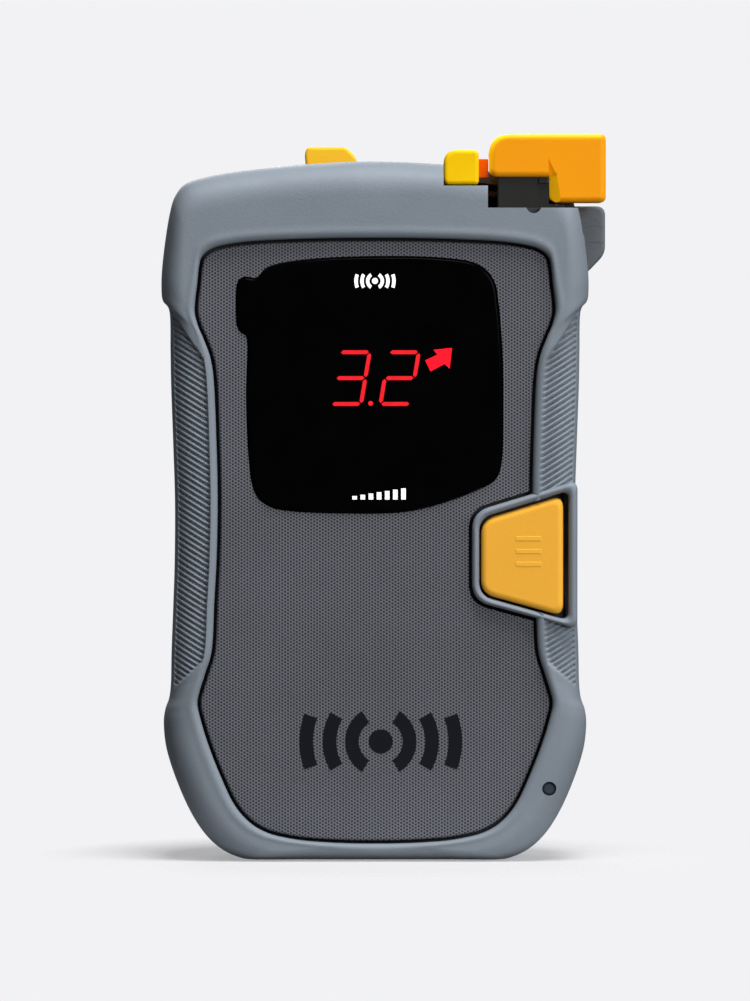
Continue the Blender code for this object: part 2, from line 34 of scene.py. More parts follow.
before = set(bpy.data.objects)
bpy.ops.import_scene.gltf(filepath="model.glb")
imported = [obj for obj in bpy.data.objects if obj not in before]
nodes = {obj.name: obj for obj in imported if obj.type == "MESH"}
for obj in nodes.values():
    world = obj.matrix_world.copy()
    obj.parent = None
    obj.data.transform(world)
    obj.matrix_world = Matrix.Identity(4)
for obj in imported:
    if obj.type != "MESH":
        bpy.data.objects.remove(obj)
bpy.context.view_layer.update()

# Right half of the rubber frame, from the top middle round to the bottom middle. Each station pairs a
# point on the outside of the case with the point on the panel opening that faces it.
STATIONS = (
    (0.0, 120.65, 0.0, 107.4), (12.0, 120.15, 10.0, 107.3), (23.5, 118.95, 20.0, 106.9),
    (29.5, 117.9, 25.3, 106.3), (32.7, 116.8, 28.2, 105.5), (34.5, 114.7, 29.8, 104.2),
    (35.4, 111.9, 30.3, 102.4), (36.2, 107.2, 30.6, 99.5), (36.8, 102.0, 31.0, 96.2),
    (36.9, 98.6, 31.0, 94.3), (36.65, 96.6, 30.4, 92.1), (35.5, 94.6, 29.5, 90.0),
    (35.35, 88.0, 28.3, 86.6), (35.25, 82.0, 27.7, 82.0), (34.9, 72.0, 27.3, 72.0),
    (34.6, 62.0, 27.1, 62.0), (34.65, 52.0, 27.3, 52.0), (34.9, 44.0, 27.7, 44.5),
    (35.2, 36.0, 28.1, 36.6), (35.3, 30.8, 29.2, 32.6), (35.6, 28.0, 30.2, 29.4),
    (36.3, 25.9, 30.6, 27.4), (36.55, 23.4, 30.3, 25.4), (36.1, 19.3, 29.0, 20.9),
    (34.6, 14.4, 27.0, 15.6), (32.3, 9.0, 24.4, 10.0), (29.8, 4.9, 21.6, 6.7),
    (27.0, 2.1, 18.5, 4.9), (23.9, 0.5, 15.0, 4.0), (20.5, 0.0, 11.5, 3.5),
    (10.0, 0.0, 6.0, 3.15), (0.0, 0.0, 0.0, 3.05),
)
CASE_MIDDLE = 60.5
CASE_HALF = 36.0
FINE_STEP = 0.13
COARSE_STEP = 0.55

# Depths: the hidden rear of the frame's lip, where its side starts to round into its face, where it
# meets the rear shell, where the back starts to round, the flat of the back, and the front of the panel
# and of the window. Cutters run out to CLEAR, well outside the case.
LIP_REAR = -10.5
SIDE_START = -5.5
CASE_REAR = 4.0
BACK_ROUND_START = 7.0
BACK = 13.98
PANEL_FRONT = -12.4
GLASS_FRONT = -12.75
CLEAR = 16.0

# The frame's face: the rounding at its outside, the rolled edge and faint bead at the panel, and how far
# from the panel opening the first rings of points lie.
ROUND_DEEP = 8.2
ROUND_WIDE = 6.0
ROUND_POWER = 2.6
LIP_WIDE = 0.9
LIP_DROP = 1.0
BEAD_HEIGHT = 0.1
BEAD_AWAY = 1.25
BEAD_SPREAD = 0.6
LIP_STEPS = (0.0, 0.12, 0.3, 0.55, 0.85, 1.15, 1.45, 1.75, 2.05, 2.4)

# The grips: how far up they reach, and the ribs across them.
GRIP_TOP = 97.0
GRIP_BOTTOM = 28.8
RIB_PITCH = 0.866
RIB_LEAN = math.radians(31.0)
RIB_HEIGHT = 0.6
GRIP_DEPTH = 1.1

# The wells of the lock tab and the search switch, as (left, bottom), and the rear wall that they share.
# They are open at the right and at the top, where their cutters run past the case.
TAB_WELL = (11.8, 116.4)
SWITCH_WELL = (19.4, 112.6)
WELL_REAR = 4.6
WELL_RIGHT = 45.0
WELL_TOP = 130.0

WINDOW = (
    (-14.5, 103.2), (-6.8, 103.9), (4.3, 104.1), (13.0, 103.7), (17.6, 102.7), (20.2, 100.2),
    (21.1, 96.0), (21.8, 86.7), (21.9, 77.1), (21.7, 69.6), (20.7, 66.1), (17.6, 64.2),
    (11.5, 61.9), (4.4, 60.35), (-6.8, 60.2), (-15.2, 60.65), (-18.9, 61.8), (-20.8, 64.4),
    (-21.6, 70.1), (-22.0, 80.3), (-21.8, 89.6), (-23.1, 91.4), (-23.7, 93.2), (-23.65, 99.0),
    (-22.6, 100.5), (-20.3, 100.4), (-18.4, 102.2),
)
BUTTON = ((18.25, 58.8), (32.4, 63.1), (32.4, 42.3), (18.25, 46.2))
BUTTON_WELL = ((17.95, 59.15), (33.3, 63.9), (33.3, 41.6), (17.95, 45.9))
BUTTON_WELL_RADII = (2.3, 1.5, 1.5, 2.3)
BEZEL = ((16.7, 60.2), (34.85, 65.7), (34.85, 40.1), (16.7, 45.0))
BEZEL_OPENING = ((16.15, 60.65), (36.5, 66.9), (36.5, 38.9), (16.15, 44.55))

# On the back: the lug, the door as left, bottom, right and top, its screw, the case screws and the knob.
GUARD = ((28.0, 113.0), (40.05, 113.0), (40.05, 104.7), (36.8, 101.3), (28.0, 101.3))
DOOR = (-20.8, 7.6, 20.8, 66.8)
DOOR_GAP = 0.3
DOOR_SCREW = (0.0, 62.4)
CASE_SCREWS = ((-25.0, 13.0), (25.0, 13.0), (-26.5, 68.0), (26.5, 68.0), (-26.0, 103.0), (26.0, 97.0))
KNOB = (-7.6, 110.8)
KNOB_RADIUS = 7.5

# The lit marks, just proud of the window's front.
MARK_FRONT = GLASS_FRONT - 0.04
MARK_REAR = GLASS_FRONT + 0.15
DIGIT_BOTTOM = 78.85
DIGIT_TOP = 87.75
DIGIT_WIDTH = 5.1
DIGIT_GAP = 0.16
DIGIT_STROKE = 0.68
DIGIT_LEAN = math.tan(math.radians(9.5))
ARROW = (
    (13.25, 88.5), (12.85, 84.9), (12.0, 85.75), (9.55, 84.45), (8.65, 86.35), (10.75, 87.35),
    (10.05, 88.15),
)
LEVEL_BARS = 7
LEVEL_LEFT = -3.9
LEVEL_BOTTOM = 62.4
LEVEL_PITCH = 1.4
LEVEL_WIDTH = 0.8
LEVEL_LOWEST = 0.6
LEVEL_RISE = 0.22

# The radio mark, in shares of its half width: the dot, the arcs' radii, half their thickness and half
# their height.
SIGNAL_DOT = 0.15
SIGNAL_RADII = (0.36, 0.64, 0.93)
SIGNAL_STROKE = 0.085
SIGNAL_HEIGHT = 0.32

# Outlines of the search switch's cap, the lock tab and the knob's pointer.
LEVER = ((19.7, 117.9), (19.7, 125.3), (39.8, 125.3), (39.8, 113.5), (30.3, 113.5), (30.3, 117.9))
TAB = ((11.9, 116.6), (11.9, 122.6), (17.9, 122.6), (17.9, 116.6))
POINTER = ((-12.3, 122.1), (-11.9, 123.4), (-5.1, 123.4), (-3.1, 121.4), (-4.7, 104.6), (-10.5, 104.6))


# Geometry

def smoothed(points, steps):
    """A closed Catmull-Rom curve through rows of numbers, with so many steps after each row."""
    rows = np.array(points, float)
    curve = []
    for i in range(len(rows)):
        before, start = rows[i - 1], rows[i]
        end, after = rows[(i + 1) % len(rows)], rows[(i + 2) % len(rows)]
        count = steps[i] if hasattr(steps, "__len__") else steps
        t = (np.arange(count) / count)[:, None]
        curve.append((
            2 * start + (end - before) * t
            + (2 * before - 5 * start + 4 * end - after) * t ** 2
            + (3 * start - before - 3 * end + after) * t ** 3
        ) / 2)
    return np.vstack(curve)


def rounded(corners, radius, steps=8):
    """A polygon with its corners turned into arcs, as rows of numbers."""
    curve = []
    for i, corner in enumerate(corners):
        corner = Vector(corner)
        before, after = Vector(corners[i - 1]), Vector(corners[(i + 1) % len(corners)])
        size = radius[i] if hasattr(radius, "__len__") else radius
        start = corner + (before - corner).normalized() * size
        end = corner + (after - corner).normalized() * size
        for step in range(steps + 1):
            t = step / steps
            curve.append(start * (1 - t) ** 2 + corner * (2 * t * (1 - t)) + end * t ** 2)
    return np.array([tuple(point) for point in curve])


def rectangle(left, bottom, right, top):
    """The four corners, from the lower left round by the lower right."""
    return (left, bottom), (right, bottom), (right, top), (left, top)


def circle(x, z, radius, sides=48):
    turns = np.arange(sides) * 2 * math.pi / sides
    return np.column_stack((x + radius * np.cos(turns), z + radius * np.sin(turns)))


def inset(outline, amount):
    """The outline moved inwards along its own normals."""
    following = np.roll(outline, -1, axis=0)
    ahead = following - np.roll(outline, 1, axis=0)
    ahead /= np.linalg.norm(ahead, axis=1)[:, None]
    area = np.sum(outline[:, 0] * following[:, 1] - outline[:, 1] * following[:, 0])
    side = math.copysign(1.0, area)
    return outline + np.column_stack((-ahead[:, 1], ahead[:, 0])) * side * amount


def grown(values, low, high):
    """0 below low, 1 above high and a smooth rise between."""
    t = np.clip((values - low) / (high - low), 0.0, 1.0)
    return t * t * (3 - 2 * t)


def add_mesh(name, points, faces, smooth=40.0):
    mesh = bpy.data.meshes.new(name)
    mesh.from_pydata([tuple(point) for point in np.asarray(points) * MM], [], faces)
    mesh.validate()
    obj = bpy.data.objects.new(name, mesh)
    bpy.context.collection.objects.link(obj)
    mesh.shade_smooth()
    mesh.set_sharp_from_angle(angle=math.radians(smooth))
    return obj


def loft(name, rings, closed=False, smooth=40.0):
    """A solid through rings of (x, y, z) rows. It is capped at both ends, or closed into a hoop."""
    rings = [np.asarray(ring, float) for ring in rings]
    count, total = len(rings[0]), len(rings)
    faces = []
    for level in range(total if closed else total - 1):
        near, far = level * count, (level + 1) % total * count
        for i in range(count):
            j = (i + 1) % count
            faces.append((near + i, near + j, far + j, far + i))
    if not closed:
        faces.append(tuple(range(count - 1, -1, -1)))
        faces.append(tuple(range((total - 1) * count, total * count)))
    obj = add_mesh(name, np.vstack(rings), faces, smooth)
    fix_normals(obj)
    return obj


def fix_normals(obj):
    """Turns the surface outwards if its volume reads as negative."""
    mesh = obj.data
    mesh.calc_loop_triangles()
    points = np.empty(len(mesh.vertices) * 3)
    mesh.vertices.foreach_get("co", points)
    points = points.reshape(-1, 3)
    corners = np.empty(len(mesh.loop_triangles) * 3, int)
    mesh.loop_triangles.foreach_get("vertices", corners)
    triangles = points[corners.reshape(-1, 3)]
    if np.linalg.det(triangles).sum() < 0:
        mesh.flip_normals()


def at_depth(outline, depth):
    """The outline as (x, y, z) rows, at one depth or at a depth for each point."""
    return np.column_stack((outline[:, 0], np.zeros(len(outline)) + depth, outline[:, 1]))


def slab(name, outline, front, rear, edge=0.0, steps=3):
    """An extruded outline whose front and rear edges are rounded by edge."""
    turns = np.linspace(0.0, math.pi / 2, steps + 1) if edge else np.array([math.pi / 2])
    levels = [(edge * (1 - math.sin(turn)), edge * (1 - math.cos(turn))) for turn in turns]
    rings = [at_depth(inset(outline, amount), front + depth) for amount, depth in levels]
    rings += [at_depth(inset(outline, amount), rear - depth) for amount, depth in reversed(levels)]
    if edge:
        rings.insert(0, at_depth(inset(outline, edge * 1.15), front))
    return loft(name, rings)


def shrunk(corners, amount):
    """A polygon with every side moved inwards by amount."""
    points = [Vector(corner) for corner in corners]
    area = sum(points[i - 1].x * point.y - points[i - 1].y * point.x for i, point in enumerate(points))
    side = math.copysign(1.0, area)
    moved = []
    for i, point in enumerate(points):
        back = (point - points[i - 1]).normalized()
        ahead = (points[(i + 1) % len(points)] - point).normalized()
        normals = Vector((-back.y, back.x)) * side, Vector((-ahead.y, ahead.x)) * side
        middle = normals[0] + normals[1]
        moved.append(point + middle * (2 * amount / middle.length_squared))
    return moved


def prism(name, corners, radii, front, rear, edge, steps=4):
    """An extruded polygon with rounded corners, and with its front and rear edges rounded by edge."""
    sizes = radii if hasattr(radii, "__len__") else [radii] * len(corners)
    turns = np.linspace(0.0, math.pi / 2, steps + 1)
    levels = [(edge * (1 - math.sin(turn)), front + edge * (1 - math.cos(turn))) for turn in turns]
    levels.insert(0, (edge * 1.15, front))
    levels += [(amount, front + rear - depth) for amount, depth in reversed(levels)]
    rings = []
    for amount, depth in levels:
        softened = [max(size - amount, 0.05) for size in sizes]
        rings.append(at_depth(rounded(shrunk(corners, amount), softened, 6), depth))
    return loft(name, rings)


def block(name, low, high, edge=0.0):
    """A box from its lowest to its highest corner, with rounded edges if edge is given."""
    corners = rectangle(low[0], low[2], high[0], high[2])
    if edge:
        return prism(name, corners, edge * 1.5, low[1], high[1], edge, 3)
    return slab(name, np.array(corners, float), low[1], high[1])


def pin(name, x, z, radius, front, rear, edge=0.0, sides=48):
    """A round bar that runs from front to rear."""
    return slab(name, circle(x, z, radius, sides), front, rear, edge)


def combine(obj, others, operation):
    """Joins or cuts with the exact solver and removes the other solids."""
    for other in others:
        modifier = obj.modifiers.new(operation, "BOOLEAN")
        modifier.operation = operation
        modifier.solver = "EXACT"
        modifier.object = other
        graph = bpy.context.evaluated_depsgraph_get()
        result = bpy.data.meshes.new_from_object(obj.evaluated_get(graph))
        obj.modifiers.clear()
        obj.data = result
        bpy.data.objects.remove(other)
    obj.data.set_sharp_from_angle(angle=math.radians(40.0))


def cut(obj, *others):
    combine(obj, others, "DIFFERENCE")


def join(obj, *others):
    combine(obj, others, "UNION")


def place(obj, body, material, *replaced):
    """Gives the piece its material and its body, and lets it stand for CAD nodes."""
    obj.data.materials.clear()
    obj.data.materials.append(material)
    evened = obj.modifiers.new("evened_normals", "WEIGHTED_NORMAL")
    evened.keep_sharp = True
    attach(obj, body)
    if replaced:
        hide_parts(*replaced)


# Materials

def new_material(name):
    material = bpy.data.materials.new(name)
    material.use_nodes = True
    return material, material.node_tree, material.node_tree.nodes["Principled BSDF"]


def add_node(tree, kind, **settings):
    """A shader node with its input sockets and its own properties set by name."""
    node = tree.nodes.new(kind)
    for key, value in settings.items():
        if key in node.inputs:
            node.inputs[key].default_value = value
        else:
            setattr(node, key, value)
    return node


def noise(tree, scale, detail=4.0, roughness=0.55):
    """Noise over the object's own metres."""
    coordinates = add_node(tree, "ShaderNodeTexCoord")
    texture = add_node(tree, "ShaderNodeTexNoise", Scale=scale, Detail=detail, Roughness=roughness)
    tree.links.new(coordinates.outputs["Object"], texture.inputs["Vector"])
    return texture.outputs["Fac"]


def ramp(tree, value, stops):
    """A colour ramp: stops are (position, colour or grey)."""
    node = add_node(tree, "ShaderNodeValToRGB")
    while len(node.color_ramp.elements) < len(stops):
        node.color_ramp.elements.new(0.5)
    for element, (position, colour) in zip(node.color_ramp.elements, stops):
        element.position = position
        element.color = (*colour, 1.0) if hasattr(colour, "__len__") else (colour, colour, colour, 1.0)
    tree.links.new(value, node.inputs["Fac"])
    return node.outputs["Color"]


def math_node(tree, operation, first, second=None):
    node = add_node(tree, "ShaderNodeMath", operation=operation)
    for socket, value in zip(node.inputs, (first, second)):
        if value is None:
            continue
        if isinstance(value, (int, float)):
            socket.default_value = value
        else:
            tree.links.new(value, socket)
    return node.outputs[0]


def bump(tree, shader, height, strength, distance):
    node = add_node(tree, "ShaderNodeBump", Strength=strength, Distance=distance)
    tree.links.new(height, node.inputs["Height"])
    tree.links.new(node.outputs["Normal"], shader.inputs["Normal"])


def shifted(colour, factor):
    return tuple(min(1.0, channel * factor) for channel in colour)


def worn_edges(tree):
    """High on convex edges, for the places that hands and pockets polish."""
    geometry = add_node(tree, "ShaderNodeNewGeometry")
    return ramp(tree, geometry.outputs["Pointiness"], ((0.52, 0.0), (0.62, 1.0)))


# Painted light on the orange plastic: the way its painted lit faces turn, up and to the left, and the
# strength of the glow painted on them.
PAINTED_LIGHT_FROM = (-0.76, 0.0, 0.65)
PAINTED_GLOW_STRENGTH = 0.5


def painted_light_side(tree):
    """High where the surface faces up or left: the share of painted light that those faces get."""
    coordinates = add_node(tree, "ShaderNodeTexCoord")
    facing = add_node(tree, "ShaderNodeVectorMath", operation="DOT_PRODUCT")
    facing.inputs[1].default_value = PAINTED_LIGHT_FROM
    tree.links.new(coordinates.outputs["Normal"], facing.inputs[0])
    return ramp(tree, facing.outputs["Value"], ((0.12, 0.0), (0.75, 0.9)))


def paint_glow(tree, shader, painted_light_colour, share):
    """Painted light: an emission on the faces that turn up and to the left, though the plastic is no lamp.
    """
    shader.inputs["Emission Color"].default_value = (*painted_light_colour, 1.0)
    strength = math_node(tree, "MULTIPLY", share, PAINTED_GLOW_STRENGTH)
    tree.links.new(strength, shader.inputs["Emission Strength"])


def plastic(
    name, colour, roughness, grain=0.25, scale=2600.0, specular=0.4, wear=0.35, blotch=0.07, painted_light_colour=None,
):
    """Moulded plastic or rubber: spark-eroded grain, slow colour drift, rubbed edges, and painted light if a
    colour is given.
    """
    material, tree, shader = new_material(name)
    drift = ramp(tree, noise(tree, 55.0, 5.0, 0.6),
                 ((0.3, shifted(colour, 1.0 - blotch)), (0.7, shifted(colour, 1.0 + blotch))))
    mix = add_node(tree, "ShaderNodeMix", data_type="RGBA")
    tree.links.new(drift, mix.inputs[6])
    mix.inputs[7].default_value = (*(painted_light_colour or shifted(colour, 1.25)), 1.0)
    # Rubbed edges are wear. Given a painted light colour, faces that turn up and to the left are painted in
    # it too, as painted light.
    wear_and_painted_light = math_node(tree, "MULTIPLY", worn_edges(tree), wear)
    if painted_light_colour:
        share = painted_light_side(tree)
        wear_and_painted_light = math_node(tree, "MAXIMUM", wear_and_painted_light, share)
        paint_glow(tree, shader, painted_light_colour, share)
    tree.links.new(wear_and_painted_light, mix.inputs[0])
    tree.links.new(mix.outputs[2], shader.inputs["Base Color"])
    patches = ramp(tree, noise(tree, 160.0, 6.0, 0.65), ((0.3, roughness - 0.07), (0.7, roughness + 0.08)))
    tree.links.new(patches, shader.inputs["Roughness"])
    shader.inputs["Specular IOR Level"].default_value = specular
    bump(tree, shader, noise(tree, scale, 3.0, 0.6), grain, 0.00012)
    return material


def metal(name, colour, roughness, brushed=900.0):
    """Plated or brushed metal, with fine scratches and dull patches."""
    material, tree, shader = new_material(name)
    shader.inputs["Metallic"].default_value = 1.0
    drift = ramp(tree, noise(tree, 220.0, 5.0),
                 ((0.3, shifted(colour, 0.82)), (0.75, shifted(colour, 1.08))))
    tree.links.new(drift, shader.inputs["Base Color"])
    patches = ramp(tree, noise(tree, 400.0, 6.0, 0.7), ((0.25, roughness - 0.08), (0.75, roughness + 0.14)))
    tree.links.new(patches, shader.inputs["Roughness"])
    bump(tree, shader, noise(tree, brushed, 8.0, 0.7), 0.25, 0.00008)
    return material


WEAVE_PITCH = 0.5 * MM
WEAVE_TURNS = (0.0, 60.0, 120.0)
# The threads' colour, then painted shade: darker down the threads' flanks and darkest in the dips between
# them.
THREAD = (0.155, 0.161, 0.184)
THREAD_FLANK_SHADE = (0.113, 0.118, 0.138)
DIP_SHADE = (0.025, 0.027, 0.035)


def woven_panel():
    """A fine hexagonal weave of raised pale threads in three directions, with painted shade down their
    flanks and in the dips between.
    """
    material, tree, shader = new_material("panel_weave")
    coordinates = add_node(tree, "ShaderNodeTexCoord")
    reach = 2.0 * math.pi / WEAVE_PITCH
    total = None
    for turn in WEAVE_TURNS:
        along = add_node(tree, "ShaderNodeVectorMath", operation="DOT_PRODUCT")
        angle = math.radians(turn)
        along.inputs[1].default_value = (math.cos(angle) * reach, 0.0, math.sin(angle) * reach)
        tree.links.new(coordinates.outputs["Object"], along.inputs[0])
        wave = math_node(tree, "COSINE", along.outputs["Value"])
        total = wave if total is None else math_node(tree, "ADD", total, wave)
    level = math_node(tree, "MULTIPLY", math_node(tree, "ADD", total, 1.5), 1.0 / 4.5)
    # Painted shade: the colour darkens with the same depth that the bump uses.
    colour = ramp(tree, level, ((0.0, THREAD), (0.22, THREAD_FLANK_SHADE), (0.62, DIP_SHADE)))
    drift = ramp(tree, noise(tree, 40.0, 5.0, 0.6), ((0.3, 0.88), (0.7, 1.08)))
    mix = add_node(tree, "ShaderNodeMix", data_type="RGBA", blend_type="MULTIPLY")
    mix.inputs[0].default_value = 1.0
    tree.links.new(colour, mix.inputs[6])
    tree.links.new(drift, mix.inputs[7])
    tree.links.new(mix.outputs[2], shader.inputs["Base Color"])
    rough = ramp(tree, level, ((0.0, 0.52), (0.6, 0.85)))
    tree.links.new(rough, shader.inputs["Roughness"])
    shader.inputs["Specular IOR Level"].default_value = 0.35
    dip = math_node(tree, "SUBTRACT", 1.0, level)
    bump(tree, shader, dip, 0.55, 0.0001)
    return material


def display_glass():
    """Black window plastic: deep gloss with a trace of wiping marks."""
    material, tree, shader = new_material("window_black")
    film = ramp(tree, noise(tree, 90.0, 6.0, 0.7),
                ((0.35, (0.0006, 0.0006, 0.0009)), (0.75, (0.0016, 0.0016, 0.002))))
    tree.links.new(film, shader.inputs["Base Color"])
    wiped = ramp(tree, noise(tree, 140.0, 7.0, 0.7), ((0.3, 0.10), (0.8, 0.2)))
    tree.links.new(wiped, shader.inputs["Roughness"])
    shader.inputs["Specular IOR Level"].default_value = 0.02
    bump(tree, shader, noise(tree, 1500.0, 2.0), 0.03, 0.00005)
    return material


def lit_segment(name, colour, strength):
    """A lit display segment, a little uneven like light behind a diffuser; on white print its glow is
    painted light.
    """
    material, tree, shader = new_material(name)
    uneven = ramp(tree, noise(tree, 700.0, 2.0), ((0.3, shifted(colour, 0.8)), (0.7, colour)))
    tree.links.new(uneven, shader.inputs["Base Color"])
    tree.links.new(uneven, shader.inputs["Emission Color"])
    shader.inputs["Emission Strength"].default_value = strength
    shader.inputs["Roughness"].default_value = 0.5
    shader.inputs["Specular IOR Level"].default_value = 0.1
    return material


RUBBER = plastic("frame_rubber", (0.202, 0.235, 0.274), 0.62, grain=0.3, specular=0.35)
REAR = plastic("rear_plastic", (0.115, 0.130, 0.148), 0.55, grain=0.45, scale=1800.0)
DARK = plastic("shell_plastic", (0.020, 0.021, 0.024), 0.5)
BLACK = plastic("black_plastic", (0.014, 0.014, 0.012), 0.5, specular=0.2)
# The lever's orange. Its faces that turn up and to the left are painted yellow and made to glow: painted
# light on its top and left edges.
ORANGE = plastic(
    "orange_plastic", (0.93, 0.335, 0.004), 0.5, grain=0.12, specular=0.08, wear=0.05, blotch=0.03,
    painted_light_colour=(1.0, 0.56, 0.004),
)
BUTTON_ORANGE = plastic(
    "button_rubber", (0.96, 0.47, 0.046), 0.6, grain=0.18, specular=0.12, wear=0.2, blotch=0.03,
)
TAB_YELLOW = plastic(
    "tab_plastic", (0.93, 0.56, 0.002), 0.5, grain=0.12, specular=0.06, wear=0.2, blotch=0.03,
)
# A darker orange for the lock tab's set-back nose: painted shade, for the shadow it sits in behind the tab.
NOSE_PAINTED_SHADE_ORANGE = plastic(
    "nose_painted_shade_plastic", (0.90, 0.16, 0.002), 0.5, grain=0.12, specular=0.06, wear=0.3, blotch=0.03,
)
# A paler, yellower copy of the lever's orange for the knob: painted light, for the light on its top.
KNOB_PAINTED_LIGHT_ORANGE = plastic(
    "knob_painted_light_plastic", (0.90, 0.50, 0.022), 0.5, grain=0.12, specular=0.1, wear=0.1, blotch=0.03,
)
WEAVE = woven_panel()
GLASS = display_glass()
LENS = plastic("lens_grey", (0.045, 0.062, 0.078), 0.3, grain=0.05)
STEEL = metal("steel", (0.58, 0.58, 0.60), 0.3)
CONTACT = metal("contact_brass", (0.72, 0.55, 0.28), 0.25)
COPPER = metal("coil_copper", (0.72, 0.30, 0.12), 0.3, brushed=2400.0)
FERRITE = plastic("ferrite", (0.03, 0.028, 0.027), 0.5, grain=0.6, scale=900.0)
BOARD = plastic("board_green", (0.01, 0.12, 0.05), 0.35, grain=0.3, scale=500.0, blotch=0.25)
JACKET = plastic("battery_jacket", (0.03, 0.11, 0.05), 0.3, grain=0.05)
SEAL = plastic("seal_rubber", (0.03, 0.03, 0.031), 0.75)
INK = plastic("mark_ink", (0.006, 0.0065, 0.010), 0.6, grain=0.1, specular=0.1)
# White print given a glow of its own: painted light, since print is no lamp.
WHITE_INK_PAINTED_GLOW = lit_segment("white_ink_painted_glow", (0.9, 0.9, 0.9), 0.75)
LED_RED = lit_segment("led_red", (0.62, 0.010, 0.016), 0.85)
ARROW_RED = lit_segment("arrow_red", (0.85, 0.005, 0.016), 1.0)


# The case

def case_curve():
    """Matched rows of outer and inner points all the way round, closest together along the grips."""
    ring = list(STATIONS) + [(-xo, zo, -xi, zi) for xo, zo, xi, zi in reversed(STATIONS[1:-1])]
    steps = []
    for here, after in zip(ring, ring[1:] + ring[:1]):
        length = math.hypot(after[0] - here[0], after[1] - here[1])
        on_grip = GRIP_BOTTOM - 2 < (here[1] + after[1]) / 2 < GRIP_TOP + 2
        steps.append(max(3, round(length / (FINE_STEP if on_grip else COARSE_STEP))))
    curve = smoothed(ring, steps)
    curve[:, 1] = np.maximum(curve[:, 1], 0.0)
    return curve[:, :2], curve[:, 2:]


def ribs(x, z):
    """Rounded ribs with sharp valleys that run down towards the display."""
    across = (z - math.tan(RIB_LEAN) * np.abs(x)) * math.cos(RIB_LEAN) / RIB_PITCH
    return np.abs(np.sin(math.pi * across))


def grip_share(spot, reach, left):
    """1 on the sunken grips and 0 off them, where left is how much face there is still to go."""
    top = GRIP_TOP - 1.7 * left
    bottom = GRIP_BOTTOM + 0.95 * left
    share = grown(reach, 1.15, 1.6) * grown(left, 0.55, 1.05)
    return share * grown(top - spot[:, 1], 0.0, 0.9) * grown(spot[:, 1] - bottom, 0.0, 0.9)


def face_depth(spot, reach, width):
    """The depth of the frame's face at points that lie so far out from the panel opening."""
    bend = np.minimum(ROUND_WIDE, width * 0.98)
    left = np.maximum(width - reach, 0.0)
    turned = np.clip((bend - left) / bend, 0.0, 1.0)
    depth = SIDE_START - ROUND_DEEP * (1 - turned ** ROUND_POWER) ** (1 / ROUND_POWER)
    lip = np.clip((LIP_WIDE - reach) / LIP_WIDE, 0.0, 1.0)
    depth += LIP_DROP * (1 - np.sqrt(1 - lip ** 2))
    depth -= BEAD_HEIGHT * np.exp(-((reach - BEAD_AWAY) / BEAD_SPREAD) ** 2)
    grooves = GRIP_DEPTH - RIB_HEIGHT * ribs(spot[:, 0], spot[:, 1])
    return depth + grip_share(spot, reach, left) * grooves


def rubber_frame():
    """The frame as a hoop of rings, from its lip over its face and round its side to its rear."""
    outer, inner = case_curve()
    width = np.linalg.norm(outer - inner, axis=1)
    along = (outer - inner) / width[:, None]
    shares = 1 - (1 - np.linspace(0, 1, 36)[1:]) ** 1.4
    reaches = [np.full(len(width), step) for step in LIP_STEPS]
    reaches += [LIP_STEPS[-1] + (width - LIP_STEPS[-1]) * share for share in shares]
    rings = [at_depth(inner, LIP_REAR), at_depth(inner, -11.4)]
    for reach in reaches:
        spot = inner + along * reach[:, None]
        rings.append(at_depth(spot, face_depth(spot, reach, width)))
    for rear in (-4.0, -1.5, 1.0, 3.0, CASE_REAR - 0.4):
        rings.append(at_depth(outer, rear))
    rim = ((0.12, CASE_REAR - 0.12), (0.4, CASE_REAR), (2.1, CASE_REAR), (2.1, LIP_REAR + 0.3))
    for amount, rear in rim:
        rings.append(at_depth(outer - along * amount, rear))
    skin = loft("frame_skin", rings, closed=True, smooth=50.0)
    cut(
        skin,
        *(
            block(name, (left, -CLEAR, bottom), (WELL_RIGHT, WELL_REAR, WELL_TOP))
            for name, (left, bottom) in (("tab_well", TAB_WELL), ("switch_well", SWITCH_WELL))
        ),
        block("leg_channel", (29.9, -9.3, 108.0), (WELL_RIGHT, WELL_REAR, 116.0)),
        pin("finger_notch", 27.3, 113.0, 1.35, -CLEAR, -9.4, sides=32),
        slab("button_well", rounded(BUTTON_WELL, BUTTON_WELL_RADII), -CLEAR, -8.0),
        pin("indicator_hole", 30.0, 12.6, 1.23, -CLEAR, -8.0),
    )
    place(skin, "case", RUBBER, "rubber_frame")


def bezel():
    """The thin raised ring round the option button."""
    outside = rounded(BEZEL, (3.1, 1.7, 1.7, 3.1), 10)
    inside = rounded(BUTTON_WELL, BUTTON_WELL_RADII, 10)
    profile = (
        (0.0, -10.4), (0.0, -12.9), (0.06, -13.25), (0.2, -13.6), (0.4, -13.8), (0.6, -13.82),
        (0.8, -13.65), (0.94, -13.3), (1.0, -12.9), (1.0, -9.6), (0.5, -9.4),
    )
    rings = [at_depth(inside * (1 - share) + outside * share, depth) for share, depth in profile]
    place(loft("button_bezel", rings, closed=True), "case", RUBBER)


def rear_outline(amount):
    """The back half's outline, shrunk about the middle of the case."""
    outer, _ = case_curve()
    outer = outer[::3]
    across = outer[:, 0] * (1 - amount / CASE_HALF)
    return np.column_stack((across, CASE_MIDDLE + (outer[:, 1] - CASE_MIDDLE) * (1 - amount / CASE_MIDDLE)))


